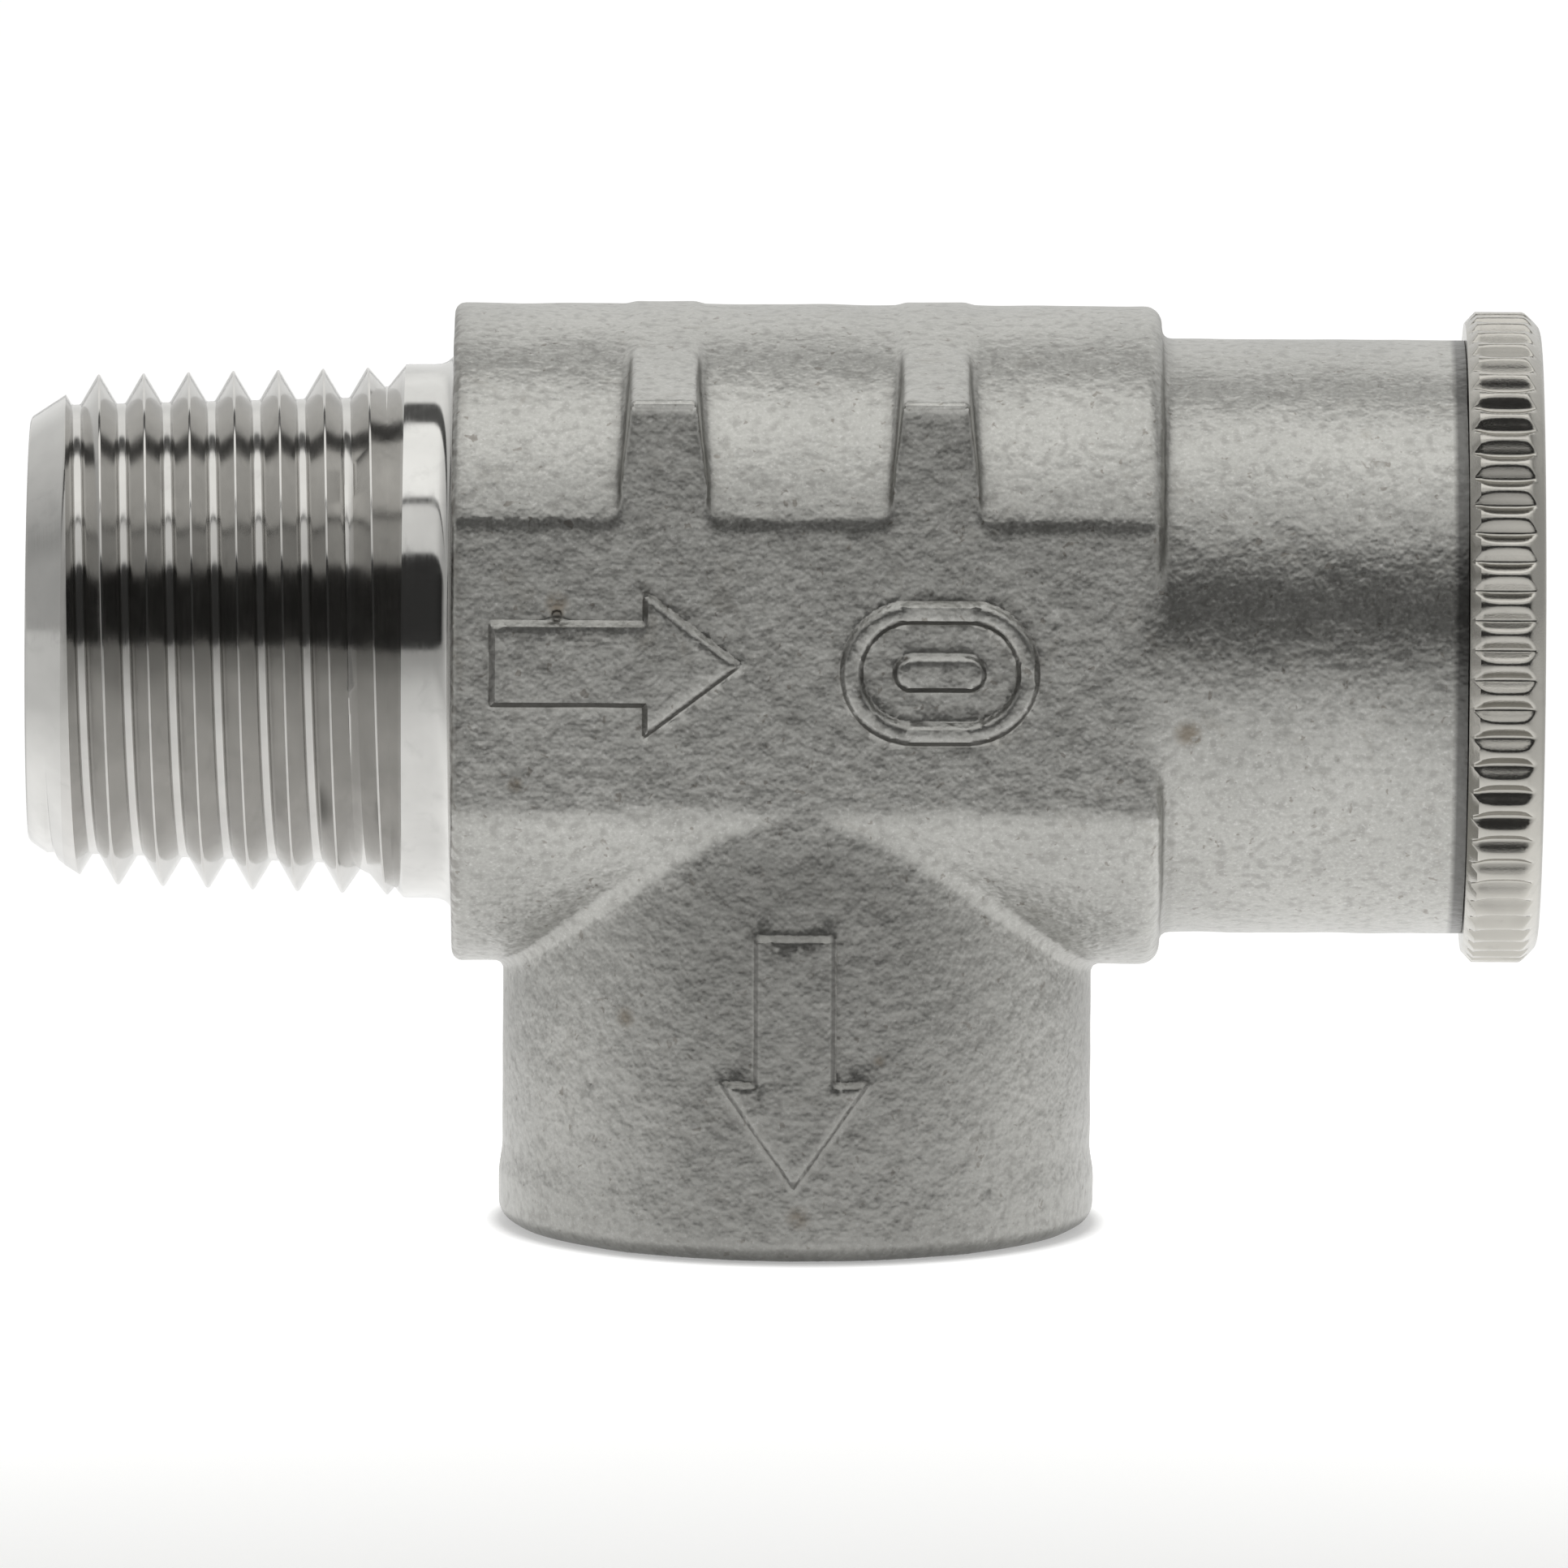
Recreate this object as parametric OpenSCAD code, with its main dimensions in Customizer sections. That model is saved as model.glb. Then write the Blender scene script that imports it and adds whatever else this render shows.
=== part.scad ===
// Angle pressure relief valve: a cast body with a taper inlet thread, a knurled screw-in cap, and the
// spring-loaded disc that they enclose. The main bore lies along X, with the inlet at -X and the cap
// at +X. The outlet points down, and the origin is the centre of its mouth. Threads are plain
// cylinders: male ones at their crest or gauge size, female ones at their minor diameter.

/* [Body] */
// Height of the main bore's axis above the outlet's mouth
axis_z = 24; // [23.8:0.1:24.3]
// Radius of the round block
block_r = 13.3; // [13.2:0.05:13.5]
// Half the distance across the block's front and back flats
flat_half = 11.9; // [11.8:0.05:12]
// Inlet end of the block
block_x0 = -13.95; // [-14.1:0.05:-13.8]
// Cap end of the block
block_x1 = 14.6; // [14.4:0.1:15]
// Radius of the bonnet
bonnet_r = 12; // [11.9:0.05:12.1]
// End face of the bonnet, where the cap's flange lands
bonnet_x1 = 26.85; // [26.7:0.05:27]

/* [Inlet] */
// End face of the inlet
inlet_x0 = -31.1; // [-31.5:0.1:-30.8]
// Start of the thread, where the smooth lead-in ends
thread_x0 = -29.7; // [-29.8:0.05:-29.6]
// End of the thread at the collar
thread_x1 = -16; // [-16.1:0.05:-15.9]
// Radius of the R 1/2 thread at its gauge plane
thread_r = 10.4775; // [10.4775]
// Radius of the polished collar
collar_r = 10.8; // [10.7:0.05:10.9]
// End of the collar's cylinder, where it flares out to the block
collar_x1 = -14.6; // [-14.7:0.05:-14.5]
// Radius of the inlet bore
inlet_bore_r = 6.5; // [6.3:0.1:6.7]

/* [Outlet] */
// Radius of the outlet boss
boss_r = 11.88; // [11.8:0.02:11.88]
// Minor radius of the G 1/2 female thread
outlet_r = 9.3155; // [9.3155]
// Depth of the female thread
outlet_depth = 12; // [11.5:0.1:12.4]
// Radius of the passage from the thread up to the chamber
passage_r = 8; // [7.8:0.1:8]

/* [Chamber] */
// Radius of the chamber that holds the disc and the spring
chamber_r = 9.3; // [9.3:0.01:9.32]
// Inlet end of the chamber
chamber_x0 = -8.5; // [-8.6:0.05:-8.4]
// Start of the female thread in the bonnet
bonnet_thread_x0 = 15.5; // [15.3:0.05:15.5]
// Minor radius of the bonnet's M20x1 female thread
bonnet_thread_r = 9.46; // [9.46:0.005:9.47]

/* [Ribs and raised marks] */
// Distance from the outlet's axis to each rib
rib_x = 5.45; // [5.3:0.05:5.6]
// Thickness of a rib
rib_w = 3; // [2.6:0.1:3.2]
// Height of a rib's front corner above the main axis
rib_corner_z = 11.08; // [11:0.02:11.2]
// Radius that the ribs reach at the top of the block
rib_top_r = 13.4; // [13.35:0.05:13.5]
// Height of the raised marks above the casting
relief_h = 0.3; // [0.2:0.05:0.35]

/* [Seat and disc] */
// Radius of the seat ring's bore
seat_bore_r = 6; // [5.8:0.1:6]
// Outside radius of the seat ring
seat_ring_r = 8; // [7.95:0.05:8.05]
// Face of the seat's lip, where the soft seat closes
seat_x = -7; // [-7.05:0.05:-6.95]
// Radial clearance of a sliding or turning fit
run_gap = 0.06; // [0.04:0.01:0.08]
// Thickness of the soft seat
seal_t = 1.6; // [1.5:0.1:1.7]
// Radius of the disc
disc_r = 8.2; // [8.1:0.05:8.3]

/* [Stem and spring] */
// Radius of the stem
stem_r = 2; // [1.95:0.05:2]
// Tip of the stem at rest
stem_x1 = 18.9; // [18.5:0.1:19]
// Diameter of the spring's wire
wire_d = 1.6; // [1.5:0.05:1.65]
// Radius of the spring's centre line
coil_r = 6.5; // [6.45:0.05:6.55]
// Turns of the spring, with the closed ones
coil_turns = 5.5; // [5:0.5:5.5]
// Disc end of the spring
spring_x0 = -1.5; // [-1.6:0.05:-1.45]
// Adjuster end of the spring
spring_x1 = 15; // [14.9:0.05:15.1]

/* [Adjuster and cap] */
// Outer face of the adjusting screw at rest
screw_x1 = 21.6; // [21.5:0.05:21.7]
// Across flats of the adjusting screw's hexagon socket
socket_af = 10; // [8:0.5:10]
// Radius of the cap's knurled flange
cap_r = 13.15; // [13.1:0.05:13.2]
// Outer face of the cap
cap_x1 = 29.9; // [29.8:0.05:30.1]
// Number of grooves around the flange
knurl_count = 68; // [48:4:72]
// Depth of a groove
knurl_depth = 0.45; // [0.35:0.05:0.5]

/* [Hidden] */
$fn = 96;

cast_steel = "#8a8984";
turned_steel = "#c4c4bf";
black_rubber = "#232323";
bronze = "#b08a4a";

inlet_lip_r = 8.8;         // radius of the inlet's end face
lead_in_r = 9.65;          // radius where the smooth lead-in meets the thread
collar_flare_r = 12;       // radius of the collar's flare at the block
bonnet_chamfer = 0.35;     // chamfer at the bonnet's end face
boss_bead_r = 12.05;       // bead around the boss's mouth
boss_bead_h = 2.5;         // height of that bead
boss_chamfer = 0.8;        // bottom edge of the boss
boss_top = axis_z - 4;     // the boss ends inside the block
rib_half_top = 2.97;       // half width of a rib's round top
pocket_x0 = -13;           // bottom of the seat ring's pocket
lip_outer_r = 6.7;         // outside of the seat's lip
lip_foot_r = 7.4;          // foot of the lip
seat_groove_x = -11.5;     // groove of the seat O-ring
seat_groove_w = 1.3;
seat_groove_r = 7;
seal_r = 7.25;             // outside of the soft seat
seal_hole_r = 1.55;        // holes around the seal screw
rim_x = seat_x + 0.4;      // front of the rim around the soft seat
seal_back = seat_x + seal_t;
disc_back = -3.4;          // back of the disc and its wings
hub_r = 4.2;               // hub that holds the stem
hub_x1 = 1.2;
socket_x0 = -3.2;          // bottom of the hub's socket
ball_r = 1;
stem_x0 = socket_x0 + 2 * ball_r;
pin_x = 0.1;               // cross pin through hub and stem
pin_r = 0.5;
shoulder_x0 = 1.4;         // shoulder on the stem under the spring plate
shoulder_x1 = 2.2;
shoulder_r = 3.2;
washer_t = 0.8;            // clamp washer
washer_r = 4.8;
screw_head_r = 2.75;       // seal screw
screw_head_t = 1.4;
seal_screw_tip = -3.7;
plate_web_t = 1.2;         // lower spring plate
plate_wall_r = 5.4;
plate_flange_r = 8;
plate_x1 = shoulder_x1 + plate_web_t;
clip_t = 0.5;              // circlip on the stem
clip_groove_r = 1.6;
upper_plate_t = 1.6;
upper_plate_r = 8.6;
upper_boss_r = 5.2;
upper_boss_x0 = 13.6;
spigot_r = 3.95;           // spigot of the adjusting screw, through the plate
washer_x0 = spring_x1 + upper_plate_t;
screw_x0 = washer_x0 + 0.8;
bush_x0 = 13.8;            // guide bush
bush_x1 = 19.4;
bush_r = 3;
pellet_r = 0.9;            // nylon locking pellet
pellet_depth = 3;
screw_r = bonnet_thread_r - run_gap;
cap_shank_x0 = 22.8;
cap_cavity_r = 6.5;
cap_cavity_x1 = 28.2;
cap_chamfer = 0.65;
cap_edge = 0.3;            // small chamfer at the flange's inner edge
cap_ring_r = 10.8;         // centre line of the cap's O-ring
cap_cord_r = 0.6;
cap_groove_w = 1.25;
tip_share = 0.14;          // share of a knurl's pitch that its flat tip takes
gap = 0.02;                // gap beside O-rings and spring ends
eps = 0.5;                 // overrun of a cut

// Places local +Z along the main bore.
module along_bore() {
    translate([0, 0, axis_z]) rotate([0, 90, 0]) children();
}

// A turned shape from [radius, x] points.
module turned(points) {
    along_bore() rotate_extrude() polygon(points);
}

// A plain ring around the main bore.
module ring(outer, inner, x0, x1) {
    turned([[inner, x0], [outer, x0], [outer, x1], [inner, x1]]);
}

// A solid rod along the main bore.
module rod(radius, x0, x1) {
    ring(radius, 0, x0, x1);
}

// An O-ring around the main bore.
module o_ring(centre_r, cord_r, x) {
    along_bore() translate([0, 0, x]) rotate_extrude() translate([centre_r, 0]) circle(cord_r);
}

// An outline in the front view, raised from depth y0 to depth y1.
module raised(y0, y1) {
    translate([0, y0, 0]) rotate([90, 0, 0]) linear_extrude(y0 - y1) children();
}

// Arrow from the origin along +X.
module arrow(length, head, shaft_half, head_half) {
    neck = length - head;
    polygon([
        [0, -shaft_half], [neck, -shaft_half], [neck, -head_half], [length, 0],
        [neck, head_half], [neck, shaft_half], [0, shaft_half]
    ]);
}

// A bar with round ends, centred on the origin.
module stadium(length, height) {
    side = (length - height) / 2;
    square([2 * side, height], center = true);
    for (x = [-side, side]) translate([x, 0]) circle(height / 2);
}

module inlet_end() {
    turned([
        [0, inlet_x0], [inlet_lip_r, inlet_x0], [lead_in_r, thread_x0], [thread_r, thread_x0],
        [thread_r, thread_x1], [collar_r, thread_x1], [collar_r, collar_x1],
        [collar_flare_r, block_x0], [collar_flare_r, block_x0 + eps], [0, block_x0 + eps]
    ]);
}

module block() {
    length = block_x1 - block_x0;
    intersection() {
        rod(block_r, block_x0, block_x1);
        translate([block_x0 - eps, -flat_half, axis_z - 2 * block_r])
            cube([length + 2 * eps, 2 * flat_half, 4 * block_r]);
    }
}

// One rib: flush with the flats, with sloping shoulders up to a round top.
module rib() {
    top_z = sqrt(pow(rib_top_r, 2) - pow(rib_half_top, 2));
    along_bore() linear_extrude(rib_w, center = true) rotate(90) {
        polygon([
            [-flat_half, 0], [-flat_half, rib_corner_z], [-rib_half_top, top_z],
            [rib_half_top, top_z], [flat_half, rib_corner_z], [flat_half, 0]
        ]);
        intersection() {
            circle(rib_top_r);
            translate([-rib_half_top, 0]) square([2 * rib_half_top, 2 * rib_top_r]);
        }
    }
}

module bonnet() {
    turned([
        [0, block_x1 - eps], [bonnet_r, block_x1 - eps], [bonnet_r, bonnet_x1 - bonnet_chamfer],
        [bonnet_r - bonnet_chamfer, bonnet_x1], [0, bonnet_x1]
    ]);
}

module outlet_boss() {
    rotate_extrude() polygon([
        [0, 0], [boss_bead_r - boss_chamfer, 0], [boss_bead_r, boss_chamfer],
        [boss_bead_r, boss_bead_h], [boss_r, boss_bead_h + 0.3], [boss_r, boss_top], [0, boss_top]
    ]);
}

// Flow arrows and a blank maker's field, raised from the front.
module raised_marks() {
    flat_y = 1 - flat_half;
    translate([0, 0, axis_z]) raised(flat_y, -flat_half - relief_h) {
        translate([-12.3, 0.2]) arrow(10, 3.9, 1.65, 2.85);
        translate([5.65, 0]) difference() {
            stadium(7.9, 5.7);
            stadium(6.3, 4.1);
        }
        translate([5.65, 0]) stadium(3.6, 1.4);
    }
    intersection() {
        translate([0, 0, axis_z - 10.7]) raised(flat_y, -flat_half - 1)
            rotate(-90) arrow(10.2, 4.3, 1.6, 3);
        cylinder(h = axis_z, r = boss_r + relief_h);
    }
}

module bores() {
    rod(inlet_bore_r, inlet_x0 - eps, pocket_x0 + eps);
    rod(seat_ring_r, pocket_x0, chamber_x0 + eps);
    rod(chamber_r, chamber_x0, bonnet_thread_x0 + eps);
    rod(bonnet_thread_r, bonnet_thread_x0, bonnet_x1 + eps);
    translate([0, 0, -eps]) cylinder(h = outlet_depth + eps, r = outlet_r);
    cylinder(h = axis_z, r = passage_r);
}

module valve_body() {
    color(cast_steel) difference() {
        union() {
            inlet_end();
            block();
            for (side = [-1, 1]) translate([side * rib_x, 0, 0]) rib();
            bonnet();
            outlet_boss();
            raised_marks();
        }
        bores();
    }
}

module seat_ring() {
    color(turned_steel) difference() {
        turned([
            [seat_bore_r, pocket_x0], [seat_ring_r, pocket_x0], [seat_ring_r, chamber_x0],
            [lip_foot_r, chamber_x0], [lip_outer_r, seat_x], [seat_bore_r, seat_x]
        ]);
        ring(seat_ring_r + eps, seat_groove_r, seat_groove_x, seat_groove_x + seat_groove_w);
    }
}

module seat_o_ring() {
    room = (seat_ring_r - seat_groove_r) / 2;
    color(black_rubber)
        o_ring(seat_groove_r + room, room - gap, seat_groove_x + seat_groove_w / 2);
}

// Disc with three wings, placed clear of the outlet's opening in the chamber wall.
module disc_holder() {
    wing_w = 2;
    color(turned_steel) difference() {
        union() {
            rod(disc_r, rim_x, disc_back);
            rod(hub_r, disc_back - eps, hub_x1);
            intersection() {
                rod(chamber_r - run_gap, rim_x, disc_back);
                along_bore() for (turn = [0, 120, 240])
                    rotate(180 + turn) translate([0, -wing_w / 2, rim_x - eps])
                        cube([chamber_r, wing_w, disc_back - rim_x + 2 * eps]);
            }
        }
        rod(seal_r + gap, rim_x - eps, seal_back);
        rod(seal_hole_r, seal_back - eps, seal_screw_tip);
        rod(stem_r + 0.1, socket_x0, hub_x1 + eps);
        translate([pin_x, 0, axis_z]) rotate([90, 0, 0])
            cylinder(h = 3 * hub_r, r = pin_r + gap, center = true);
    }
}

module disc_seal() {
    color("#e8e6df") ring(seal_r, seal_hole_r, seat_x, seal_back);
}

module clamp_washer() {
    color(turned_steel) ring(washer_r, seal_hole_r, seat_x - washer_t, seat_x);
}

module seal_screw() {
    head_x = seat_x - washer_t;
    color(turned_steel) difference() {
        turned([
            [0, head_x - screw_head_t], [screw_head_r - 0.5, head_x - screw_head_t],
            [screw_head_r, head_x - 0.6], [screw_head_r, head_x], [seal_hole_r - 0.05, head_x],
            [seal_hole_r - 0.05, seal_screw_tip - 0.1], [0, seal_screw_tip - 0.1]
        ]);
        along_bore() translate([0, 0, head_x - screw_head_t - eps])
            cylinder(h = 0.9 + eps, r = 1.1, $fn = 6);
    }
}

module pivot_ball() {
    color(turned_steel) translate([socket_x0 + ball_r, 0, axis_z]) sphere(ball_r);
}

module stem() {
    color(turned_steel) difference() {
        turned([
            [0, stem_x0], [stem_r, stem_x0], [stem_r, shoulder_x0], [shoulder_r, shoulder_x0],
            [shoulder_r, shoulder_x1], [stem_r, shoulder_x1], [stem_r, plate_x1],
            [clip_groove_r, plate_x1], [clip_groove_r, plate_x1 + clip_t],
            [stem_r, plate_x1 + clip_t], [stem_r, stem_x1 - 0.4], [stem_r - 0.4, stem_x1],
            [0, stem_x1]
        ]);
        translate([pin_x, 0, axis_z]) rotate([90, 0, 0])
            cylinder(h = 3 * stem_r, r = pin_r + gap, center = true);
    }
}

module stem_pin() {
    color(turned_steel) translate([pin_x, 0, axis_z]) rotate([90, 0, 0])
        cylinder(h = 2 * hub_r - 0.4, r = pin_r, center = true);
}

// Hat-shaped plate: its web sits on the stem's shoulder and its flange carries the spring.
module lower_spring_plate() {
    inner_r = plate_wall_r - 0.6;
    flange_x0 = spring_x0 - plate_web_t;
    color(turned_steel) turned([
        [inner_r, flange_x0], [plate_flange_r, flange_x0], [plate_flange_r, spring_x0],
        [plate_wall_r, spring_x0], [plate_wall_r, plate_x1], [stem_r + 0.05, plate_x1],
        [stem_r + 0.05, shoulder_x1], [inner_r, shoulder_x1]
    ]);
}

module plate_circlip() {
    color(black_rubber) difference() {
        ring(2.9, clip_groove_r + gap, plate_x1, plate_x1 + clip_t - gap);
        translate([plate_x1 - eps, -1, axis_z]) cube([clip_t + 2 * eps, 2, 4]);
    }
}

// Centre line of the spring: closed turns at both ends and an even pitch between them.
closed_turns = 0.9;
closed_pitch = wire_d + 0.05;
coil_x0 = spring_x0 + wire_d / 2 + gap;
coil_x1 = spring_x1 - wire_d / 2 - gap;
open_turns = coil_turns - 2 * closed_turns;
open_pitch = (coil_x1 - coil_x0 - 2 * closed_turns * closed_pitch) / open_turns;
function coil_rise(turns) = turns * closed_pitch
    + (open_pitch - closed_pitch) * min(max(turns - closed_turns, 0), open_turns);

module spring() {
    sides = 12;
    steps = coil_turns * 20;
    points = [
        for (i = [0 : steps], k = [0 : sides - 1])
            let (
                turns = i * coil_turns / steps,
                around = 360 * k / sides,
                radius = coil_r + wire_d / 2 * cos(around),
                x = coil_x0 + coil_rise(turns) + wire_d / 2 * sin(around)
            )
            [radius * cos(360 * turns), radius * sin(360 * turns), x]
    ];
    sides_of_tube = [
        for (i = [0 : steps - 1], k = [0 : sides - 1])
            let (a = i * sides + k, b = i * sides + (k + 1) % sides)
            [a, a + sides, b + sides, b]
    ];
    start_cap = [for (k = [0 : sides - 1]) k];
    end_cap = [for (k = [sides - 1 : -1 : 0]) steps * sides + k];
    color("#5c5c5a") along_bore()
        polyhedron(points, concat([start_cap], sides_of_tube, [end_cap]), convexity = 8);
}

module upper_spring_plate() {
    color(turned_steel) turned([
        [spigot_r + 0.05, upper_boss_x0], [upper_boss_r, upper_boss_x0], [upper_boss_r, spring_x1],
        [upper_plate_r, spring_x1], [upper_plate_r, washer_x0], [spigot_r + 0.05, washer_x0]
    ]);
}

module thrust_washer() {
    color(bronze) ring(7.2, spigot_r + 0.05, washer_x0, screw_x0);
}

module adjusting_screw() {
    color(turned_steel) difference() {
        turned([
            [0, bush_x0], [spigot_r, bush_x0], [spigot_r, screw_x0], [screw_r - 0.4, screw_x0],
            [screw_r, screw_x0 + 0.4], [screw_r, screw_x1 - 0.4], [screw_r - 0.4, screw_x1],
            [0, screw_x1]
        ]);
        rod(bush_r, bush_x0 - eps, bush_x1);
        along_bore() translate([0, 0, bush_x1])
            cylinder(h = screw_x1 - bush_x1 + eps, r = socket_af / 2 / cos(30), $fn = 6);
        translate([screw_x0 + 2, 0, axis_z + screw_r - pellet_depth])
            cylinder(h = pellet_depth + eps, r = pellet_r);
    }
}

module locking_pellet() {
    color("#3f6fa8") intersection() {
        rod(screw_r, screw_x0, screw_x1);
        translate([screw_x0 + 2, 0, axis_z + screw_r - pellet_depth])
            cylinder(h = pellet_depth + eps, r = pellet_r);
    }
}

module guide_bush() {
    color(bronze) ring(bush_r, stem_r + 0.05, bush_x0, bush_x1);
}

// Flange with straight V-grooves that run out through its chamfers.
module knurled_flange() {
    pitch = 360 / knurl_count;
    tip = pitch * tip_share / 2;
    outline = [
        for (i = [0 : knurl_count - 1], spot = [[cap_r, -tip], [cap_r, tip], [cap_r - knurl_depth, pitch / 2]])
            [spot[0] * cos(i * pitch + spot[1]), spot[0] * sin(i * pitch + spot[1])]
    ];
    intersection() {
        along_bore() translate([0, 0, bonnet_x1]) linear_extrude(cap_x1 - bonnet_x1)
            polygon(outline);
        turned([
            [0, bonnet_x1], [cap_r - 0.5, bonnet_x1], [cap_r + 0.01, bonnet_x1 + cap_edge],
            [cap_r + 0.01, cap_x1 - cap_chamfer], [cap_r - cap_chamfer, cap_x1], [0, cap_x1]
        ]);
    }
}

module cap() {
    color("#b9b8b0") difference() {
        union() {
            knurled_flange();
            turned([
                [0, cap_shank_x0], [screw_r - 0.5, cap_shank_x0], [screw_r, cap_shank_x0 + 0.5],
                [screw_r, bonnet_x1 + eps], [0, bonnet_x1 + eps]
            ]);
        }
        rod(cap_cavity_r, cap_shank_x0 - eps, cap_cavity_x1);
        ring(cap_ring_r + cap_cord_r + gap, cap_ring_r - cap_cord_r - gap,
            bonnet_x1 - eps, bonnet_x1 + cap_groove_w);
    }
}

module cap_o_ring() {
    color(black_rubber) o_ring(cap_ring_r, cap_cord_r, bonnet_x1 + cap_cord_r + gap);
}

valve_body();
seat_ring();
seat_o_ring();
disc_holder();
disc_seal();
clamp_washer();
seal_screw();
pivot_ball();
stem();
stem_pin();
lower_spring_plate();
plate_circlip();
spring();
upper_spring_plate();
thrust_washer();
adjusting_screw();
locking_pellet();
guide_bush();
cap();
cap_o_ring();
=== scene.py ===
import math

import bpy
import numpy as np
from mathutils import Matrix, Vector


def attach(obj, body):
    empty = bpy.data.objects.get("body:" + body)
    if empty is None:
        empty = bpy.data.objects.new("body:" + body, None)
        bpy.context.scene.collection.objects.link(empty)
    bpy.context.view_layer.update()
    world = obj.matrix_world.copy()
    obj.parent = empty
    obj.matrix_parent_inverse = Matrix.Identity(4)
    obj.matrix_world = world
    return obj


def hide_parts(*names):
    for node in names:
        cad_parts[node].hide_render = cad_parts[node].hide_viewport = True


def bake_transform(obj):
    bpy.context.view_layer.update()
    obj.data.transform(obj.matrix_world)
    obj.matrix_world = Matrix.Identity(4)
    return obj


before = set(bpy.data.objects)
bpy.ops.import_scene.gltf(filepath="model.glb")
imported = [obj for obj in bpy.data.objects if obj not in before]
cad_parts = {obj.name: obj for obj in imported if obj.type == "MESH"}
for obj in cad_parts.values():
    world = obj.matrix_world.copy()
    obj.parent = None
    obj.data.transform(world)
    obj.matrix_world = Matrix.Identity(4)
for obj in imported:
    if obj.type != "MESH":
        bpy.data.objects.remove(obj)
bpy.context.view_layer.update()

# Shapes are worked out in millimetres: x along the main bore, y away from the viewer, z up.
# u is the height above the main bore's axis.
MM = 0.001
AXIS_Z = 24.0              # height of the main bore's axis
INLET_X = -31.1            # inlet face
BLOCK_R = 13.3             # round block
BLOCK_X = (-13.95, 14.6)   # its two ends
FLAT = 11.9                # half the distance across the flats
BONNET_R = 12.0
BONNET_X1 = 26.85          # end face, under the cap's flange
BOSS_R = 11.9
PIPE_PITCH = 25.4 / 14     # R 1/2 and G 1/2
PIPE_DEPTH = 0.640327 * PIPE_PITCH     # of the Whitworth tooth
CAP_PITCH = 1.0            # M20x1
TINY = 1e-6                # keeps divisions away from zero


# ---------------------------------------------------------------- mesh helpers

def new_object(name, points, faces):
    """Object from points in millimetres and a list or an array of faces."""
    mesh = bpy.data.meshes.new(name)
    if isinstance(faces, np.ndarray):
        count, corners = faces.shape
        mesh.vertices.add(len(points))
        mesh.vertices.foreach_set("co", (points * MM).astype(np.float32).ravel())
        mesh.loops.add(count * corners)
        mesh.loops.foreach_set("vertex_index", faces.astype(np.int32).ravel())
        mesh.polygons.add(count)
        mesh.polygons.foreach_set("loop_start", np.arange(count, dtype=np.int32) * corners)
        mesh.update(calc_edges=True)
    else:
        mesh.from_pydata((np.asarray(points, float) * MM).tolist(), [], faces)
        mesh.update()
    obj = bpy.data.objects.new(name, mesh)
    bpy.context.scene.collection.objects.link(obj)
    return obj


def along_bore(points):
    """Local z goes along the main bore, local x to +Y and local y to +Z."""
    return np.stack([points[:, 2], points[:, 0], points[:, 1] + AXIS_Z], axis=1)


def upright(points):
    """Local z stays up."""
    return points


def skin(rows):
    """Faces between neighbouring rows of point numbers, and from the last row back to the first."""
    faces = []
    around = len(rows[0])
    for a, b in zip(rows, rows[1:] + rows[:1]):
        for i in range(around):
            j = (i + 1) % around
            corners = [a[i], a[j], b[j], b[i]]
            face = [c for n, c in enumerate(corners) if c != corners[n - 1]]
            if len(face) > 2:
                faces.append(face)
    return faces


def ring(points, radius, angle, z):
    """Adds a ring to the list of points and returns their numbers. With no radius it is one point."""
    start = len(points)
    if np.all(radius == 0):
        points.append((0.0, 0.0, z))
        return [start] * len(angle)
    points.extend(zip(radius * np.cos(angle), radius * np.sin(angle), [z] * len(angle)))
    return list(range(start, len(points)))


def lathe(name, outline, place=along_bore, steps=128):
    """Closed solid from a closed outline of (z, radius); radius 0 is on the axis."""
    angle = 2 * math.pi * np.arange(steps) / steps
    points = []
    rows = [ring(points, radius, angle, z) for z, radius in outline]
    return closed(new_object(name, place(np.array(points)), skin(rows)))


def closed(obj):
    """Faces turned outwards on a closed mesh."""
    mesh = obj.data
    mesh.calc_loop_triangles()
    count = len(mesh.loop_triangles)
    corner = np.zeros(count * 3, np.int32)
    mesh.loop_triangles.foreach_get("vertices", corner)
    co = np.zeros(len(mesh.vertices) * 3)
    mesh.vertices.foreach_get("co", co)
    p = co.reshape(-1, 3)[corner].reshape(-1, 3, 3)
    if np.einsum("ij,ij->i", p[:, 0], np.cross(p[:, 1], p[:, 2])).sum() < 0:
        mesh.flip_normals()
    return obj


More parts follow.
